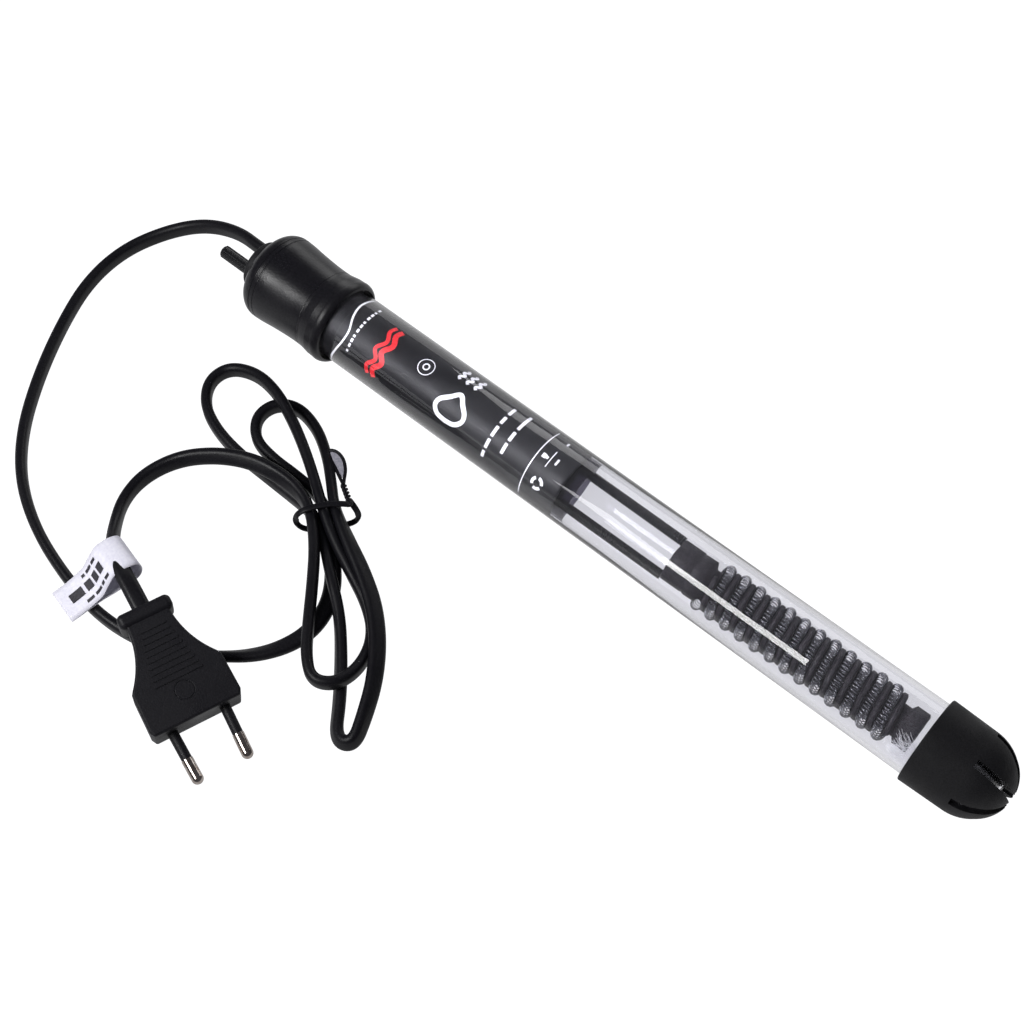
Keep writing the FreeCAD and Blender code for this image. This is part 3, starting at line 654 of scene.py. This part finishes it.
for corner in woolShape.verts:
    away = Vector((0, corner.co.y, corner.co.z)).normalized()
    corner.co += away * (noise.noise(corner.co * lumpGrain) * lumpHeight - lumpDrop)
    corner.co.x += noise.noise(corner.co * endGrain + Vector((3, 8, 5))) * endHeight
intoHeater(woolShape)
finishMesh("glassWool", woolShape, "glass_wool", ("glass_wool_pad",))
fibreStrands = []
for fibre in range(woolLook["fibres"]):
    angle = math.radians(randomiser.uniform(*woolLook["fibreSide"]))
    x = randomiser.uniform(*woolLook["fibreStart"]) + woolLook["from"]
    reach = randomiser.uniform(*woolLook["fibreReach"])
    lean = randomiser.uniform(-woolLook["fibreLean"], woolLook["fibreLean"])
    strand = []
    for step in range(woolLook["fibreSteps"] + 1):
        share = step / woolLook["fibreSteps"]
        turn = angle + lean * share
        bow = woolLook["fibreBow"] * math.sin(share * math.pi) * randomiser.uniform(0.2, 1)
        radius = min(woolLook["reachLimit"], reach + bow)
        along = x - woolLook["fibreRun"] * share * randomiser.uniform(0.6, 1)
        place = Vector((along, radius * math.cos(turn), radius * math.sin(turn)))
        strand.append((heaterMatrix @ (place * mm), 0.0))
    fibreStrands.append(strand)
finishCurve(
    "glassWoolFibres", fibreStrands, "glass_wool", woolLook["fibreRadius"] * mm, rounding=0, order=3)
print("wool fluffed")

# Printed marks on the sleeve: generic shapes only. Places are (angle from the top in degrees towards
# +y, x along the tube); sizes are in millimetres.
printLook = {"radius": 11.9, "height": 0.04}


def wrapped(angle, x, lift=0.0):
    turn = math.radians(angle)
    radius = printLook["radius"] + lift
    return heaterMatrix @ (Vector((x, radius * math.sin(turn), radius * math.cos(turn))) * mm)


def spread(distance):
    return math.degrees(distance / printLook["radius"])


def skinRows(shape, rows, closed=False):
    # Rows of four corners become one closed bar, or a closed ring.
    pairs = list(zip(rows, rows[1:])) + ([(rows[-1], rows[0])] if closed else [])
    for row, following in pairs:
        for corner in range(4):
            beyond = (corner + 1) % 4
            shape.faces.new((row[corner], row[beyond], following[beyond], following[corner]))
    if not closed:
        shape.faces.new(rows[0])
        shape.faces.new(rows[-1])


def printedStroke(shape, places, width, closed=False):
    # A band of even width along a chain of (angle, x) places, kept on the sleeve's surface.
    flat = [Vector((math.radians(angle) * printLook["radius"], x)) for angle, x in places]
    count = len(flat)
    rows = []
    for number, here in enumerate(flat):
        before = flat[number - 1] if closed or number else here
        after = flat[(number + 1) % count] if closed or number < count - 1 else here
        heading = (after - before).normalized()
        side = Vector((-heading.y, heading.x)) * width / 2
        rows.append([
            shape.verts.new(wrapped(spread(place.x), place.y, lift))
            for place, lift in (
                (here + side, 0), (here + side, printLook["height"]),
                (here - side, printLook["height"]), (here - side, 0),
            )
        ])
    skinRows(shape, rows, closed)


def ringPlaces(angle, x, radius, start=0.0, sweep=360.0, steps=40):
    places = []
    for step in range(steps if sweep >= 360 else steps + 1):
        turn = math.radians(start + sweep * step / steps)
        places.append((angle + spread(radius * math.cos(turn)), x + radius * math.sin(turn)))
    return places


def linePlaces(first, last, steps=10):
    return [
        (first[0] + (last[0] - first[0]) * step / steps, first[1] + (last[1] - first[1]) * step / steps)
        for step in range(steps + 1)
    ]


def smoothPlaces(places, steps=8):
    # A smooth chain through the given places.
    ends = [places[0]] + list(places) + [places[-1]]
    chain = []
    for number in range(1, len(ends) - 2):
        p, q, r, s = (Vector(place) for place in ends[number - 1:number + 3])
        for step in range(steps):
            t = step / steps
            squared, cubed = 2 * p - 5 * q + 4 * r - s, 3 * q - p - 3 * r + s
            point = 0.5 * ((2 * q) + (r - p) * t + squared * t * t + cubed * t ** 3)
            chain.append((point.x, point.y))
    chain.append(places[-1])
    return chain


# Every mark gives its places and its line width. Shifts move a copy along x.
whiteMarks = {
    "levelLine": {
        "places": [
            (-112, 4.2), (-96, 4.6), (-70, 6.6), (-50, 8.0), (-30, 8.2), (-8, 6.2), (14, 5.0), (36, 5.1),
            (60, 5.6),
        ],
        "width": 0.75,
    },
    "shortDashes": {
        "count": 11, "from": -62, "apart": 9.2, "x": 11.1, "long": 6.4, "short": 4.2, "width": 0.95,
    },
    "dotRing": {"centre": (-5, 40.1), "rings": ((3.0, 0.32), (1.1, 0.5))},
    "drop": {
        "places": [
            (-60, 56.7), (-57, 53.0), (-46, 50.9), (-34, 51.4), (-22, 54.2), (-10, 57.0), (-22, 59.8),
            (-34, 62.4), (-46, 62.7), (-57, 60.4), (-60, 56.7),
        ],
        "width": 1.7,
    },
    "waves": {
        "places": [(12, 55.9), (17, 55.0), (23, 56.4), (29, 55.0), (35, 56.4), (40, 55.6)],
        "shifts": (-3.6, 0.0, 3.6),
        "width": 1.1,
    },
    "longDashes": {
        "rows": (
            (74.8, ((-75, -62), (-57, -40), (-35, -16), (-10, 4), (10, 28))),
            (81.0, ((-49, -30), (-25, -8), (-2, 34))),
        ),
        "width": 1.25,
    },
    "lines": (
        ((-118, 91.8), (112, 91.8), 60, 0.4),
        ((-25, 96.9), (6, 96.9), 8, 0.35),
        ((-15, 94.3), (-7, 94.3), 2, 1.6),
        ((-11, 94.9), (-11, 96.0), 2, 1.0),
        ((-14, 99.4), (-3, 99.4), 3, 0.8),
        ((28, 97.5), (36, 97.5), 3, 0.8),
    ),
    "arcs": {
        "centre": (-55, 97.4), "radius": 1.9, "starts": (0, 120, 240), "sweep": 84, "steps": 8, "width": 1.15,
    },
}
whiteInk = bmesh.new()
levelLine = whiteMarks["levelLine"]
printedStroke(whiteInk, smoothPlaces(levelLine["places"]), levelLine["width"])
dashes = whiteMarks["shortDashes"]
for number in range(dashes["count"]):
    start = dashes["from"] + number * dashes["apart"]
    end = start + (dashes["long"] if number % 3 else dashes["short"])
    printedStroke(whiteInk, linePlaces((start, dashes["x"]), (end, dashes["x"]), 4), dashes["width"])
for radius, width in whiteMarks["dotRing"]["rings"]:
    printedStroke(whiteInk, ringPlaces(*whiteMarks["dotRing"]["centre"], radius), width, True)
drop = whiteMarks["drop"]
printedStroke(whiteInk, smoothPlaces(drop["places"])[:-1], drop["width"], True)
waves = whiteMarks["waves"]
for shift in waves["shifts"]:
    printedStroke(whiteInk, smoothPlaces([(angle, x + shift) for angle, x in waves["places"]]), waves["width"])
for x, spans in whiteMarks["longDashes"]["rows"]:
    for first, last in spans:
        printedStroke(whiteInk, linePlaces((first, x), (last, x), 6), whiteMarks["longDashes"]["width"])
for first, last, steps, width in whiteMarks["lines"]:
    printedStroke(whiteInk, linePlaces(first, last, steps), width)
arcs = whiteMarks["arcs"]
for start in arcs["starts"]:
    places = ringPlaces(*arcs["centre"], arcs["radius"], start, arcs["sweep"], arcs["steps"])
    printedStroke(whiteInk, places, arcs["width"])
finishMesh("sleevePrintWhite", whiteInk, "ink_white", smooth=False)
redWaves = {
    "places": [(-74, 23.2), (-60, 21.9), (-44, 24.3), (-28, 22.1), (-10, 24.2), (8, 22.3), (22, 23.0)],
    "copies": ((-1.6, 1.5), (1.3, 2.0)),
}
redInk = bmesh.new()
for shift, width in redWaves["copies"]:
    printedStroke(redInk, smoothPlaces([(angle, x + shift) for angle, x in redWaves["places"]]), width)
finishMesh("sleevePrintRed", redInk, "ink_red", smooth=False)
print("marks printed")

# The paper tag: one strip folded round the cord, its two leaves pressed together at the free end.
tagLook = {
    "width": 13.5,
    "thick": 0.3,
    "fold": (-104.0, -114.0),
    "heading": -103.0,
    "side": [
        (28.7, 6.45), (22.0, 7.4), (15.4, 8.4), (9.6, 8.25), (4.2, 8.55), (1.3, 10.2), (0.2, 13.6), (1.3, 17.0),
        (4.2, 18.6), (7.4, 18.9), (10.0, 18.2), (13.2, 14.4), (16.5, 10.5), (22.0, 8.3), (28.7, 6.9),
    ],
    "strips": 6,
    "ripple": 0.35,
    "rippleGrain": 0.16,
    "twist": 0.004,
    "twistSpan": 6,
    "leafFrom": 14,
    "inkHeights": (0.1, 0.22),
    "inkSteps": 8,
}


def tagRipple(point):
    twist = tagLook["twist"] * point.x * point.y / tagLook["twistSpan"]
    return tagLook["ripple"] * noise.noise(point * tagLook["rippleGrain"]) + twist


sideChain = smoothPlaces(tagLook["side"], 5)
tagShape = bmesh.new()
tagCorners = [tagShape.verts.new((away, -tagLook["width"] / 2, height)) for away, height in sideChain]
tagEdges = [tagShape.edges.new(pair) for pair in zip(tagCorners, tagCorners[1:])]
for number in range(tagLook["strips"]):
    grown = bmesh.ops.extrude_edge_only(tagShape, edges=tagEdges)["geom"]
    tagEdges = [part for part in grown if isinstance(part, bmesh.types.BMEdge)]
    movedCorners = [part for part in grown if isinstance(part, bmesh.types.BMVert)]
    bmesh.ops.translate(tagShape, vec=(0, tagLook["width"] / tagLook["strips"], 0), verts=movedCorners)
for corner in tagShape.verts:
    corner.co.z += tagRipple(corner.co)
bmesh.ops.recalc_face_normals(tagShape, faces=tagShape.faces)
bmesh.ops.solidify(tagShape, geom=tagShape.faces, thickness=tagLook["thick"])
tagTurn = Matrix.Rotation(math.radians(tagLook["heading"]), 4, "Z")
tagMatrix = Matrix.Translation(Vector((*tagLook["fold"], 0))) @ tagTurn
bmesh.ops.transform(tagShape, matrix=Matrix.Scale(mm, 4) @ tagMatrix, verts=tagShape.verts)
finishMesh("ratingTag", tagShape, "tag_paper", ("rating_tag",))
# Plain dark bars stand for the lines printed along the tag's upper leaf.
leafChain = sideChain[len(sideChain) // 2 + tagLook["leafFrom"]:]
# Each row: its place across the leaf, its width, and its spans as shares of the leaf's length.
tagRows = [
    (-4.3, 1.1, ((0.18, 0.3), (0.34, 0.5), (0.54, 0.6))),
    (-0.2, 3.6, ((0.14, 0.27), (0.32, 0.45), (0.5, 0.63), (0.68, 0.86))),
    (4.4, 1.1, ((0.12, 0.24), (0.28, 0.36), (0.4, 0.56), (0.6, 0.72))),
]


def leafPlace(share, y):
    at = share * (len(leafChain) - 1)
    number = min(int(at), len(leafChain) - 2)
    first, second = Vector(leafChain[number]), Vector(leafChain[number + 1])
    place = first.lerp(second, at - number)
    point = Vector((place.x, y, place.y))
    point.z += tagRipple(point)
    return point


inkLow, inkHigh = tagLook["inkHeights"]
tagInk = bmesh.new()
for rowY, rowWidth, spans in tagRows:
    for spanStart, spanEnd in spans:
        rows = []
        for step in range(tagLook["inkSteps"] + 1):
            share = spanStart + (spanEnd - spanStart) * step / tagLook["inkSteps"]
            rows.append([
                tagInk.verts.new(leafPlace(share, rowY + side * rowWidth / 2) + Vector((0, 0, lift)))
                for side, lift in ((-1, inkLow), (-1, inkHigh), (1, inkHigh), (1, inkLow))
            ])
        skinRows(tagInk, rows)
bmesh.ops.transform(tagInk, matrix=Matrix.Scale(mm, 4) @ tagMatrix, verts=tagInk.verts)
finishMesh("tagPrint", tagInk, "ink_dark", (), False)
print("tag folded")

# The floor, the room's light and the lamps.
studioLook = {
    "floorSize": 3.0,
    "floor": {"camera": 1.06, "glass": 0.68, "bounce": 0.6},
    "room": {"camera": 1.1, "glass": 0.5, "bounce": 0.11},
    "roomColour": (0.92, 0.92, 1.0),
    "floorColour": (0.99, 0.99, 1.0),
    "floorCells": 24,
}
floorShape = bmesh.new()
bmesh.ops.create_grid(
    floorShape, x_segments=studioLook["floorCells"], y_segments=studioLook["floorCells"],
    size=studioLook["floorSize"] / 2)
floorMesh = bpy.data.meshes.new("studioFloor")
floorShape.to_mesh(floorMesh)
floorShape.free()
floorObject = bpy.data.objects.new("studioFloor", floorMesh)
bpy.context.scene.collection.objects.link(floorObject)
floorMaterial = mixedMaterial("studioFloor", {
    "light": (0.085, 0.085, 0.09), "dark": (0.075, 0.075, 0.08), "grain": 300,
    "rough": (0.8, 0.9), "bump": 0.00001,
})
floorMesh.materials.append(floorMaterial)


def studioGlow(nodes, links, socket, levels):
    # One level straight to the camera, one through the glass and one for everything the light bounces to.
    lightPath = nodes.new("ShaderNodeLightPath")
    direct = nodes.new("ShaderNodeMath")
    direct.operation = "MULTIPLY_ADD"
    direct.inputs[1].default_value = levels["camera"] - levels["bounce"]
    direct.inputs[2].default_value = levels["bounce"]
    clear = nodes.new("ShaderNodeMath")
    clear.operation = "MULTIPLY_ADD"
    clear.inputs[1].default_value = levels["glass"] - levels["bounce"]
    links.new(lightPath.outputs["Is Camera Ray"], direct.inputs[0])
    links.new(lightPath.outputs["Is Transmission Ray"], clear.inputs[0])
    links.new(direct.outputs["Value"], clear.inputs[2])
    links.new(clear.outputs["Value"], socket)


floorTree = floorMaterial.node_tree
floorShader = floorTree.nodes["Principled BSDF"]
floorShader.inputs["Emission Color"].default_value = (*studioLook["floorColour"], 1)
studioGlow(floorTree.nodes, floorTree.links, floorShader.inputs["Emission Strength"], studioLook["floor"])

world = bpy.data.worlds.new("studioRoom")
bpy.context.scene.world = world
world.use_nodes = True
background = world.node_tree.nodes["Background"]
background.inputs["Color"].default_value = (*studioLook["roomColour"], 1)
studioGlow(world.node_tree.nodes, world.node_tree.links, background.inputs["Strength"], studioLook["room"])

# Each lamp: place, point it faces, width, height and power in watts.
lamps = {
    "tubeSoftbox": {
        "place": (-0.2, -0.478, 0.512), "aim": (-0.2, -0.007, 0.028), "size": (0.27, 0.2), "power": 2.9,
    },
    "capSoftbox": {
        "place": (-0.39, -0.43, 0.52), "aim": (-0.09, -0.007, 0.028), "size": (0.22, 0.2), "power": 0.9,
    },
    "backSoftbox": {
        "place": (-0.25, 0.75, 0.3), "aim": (-0.03, 0.0, 0.0), "size": (0.9, 0.35), "power": 2.2,
    },
    "overheadSoftbox": {
        "place": (-0.25, 0.05, 0.95), "aim": (-0.06, -0.06, 0.0), "size": (0.3, 0.3), "power": 1.4,
        "mirrored": False,
    },
}
for lampName, lamp in lamps.items():
    lampData = bpy.data.lights.new(lampName, "AREA")
    lampData.shape = "RECTANGLE"
    lampData.size, lampData.size_y = lamp["size"]
    lampData.energy = lamp["power"]
    lampObject = bpy.data.objects.new(lampName, lampData)
    lampObject.location = lamp["place"]
    facing = Vector(lamp["aim"]) - Vector(lamp["place"])
    lampObject.rotation_euler = facing.to_track_quat("-Z", "Y").to_euler()
    lampObject.visible_camera = False
    lampObject.visible_glossy = lamp.get("mirrored", True)
    bpy.context.scene.collection.objects.link(lampObject)
bpy.context.scene.view_settings.view_transform = "Standard"
print("studio lit")
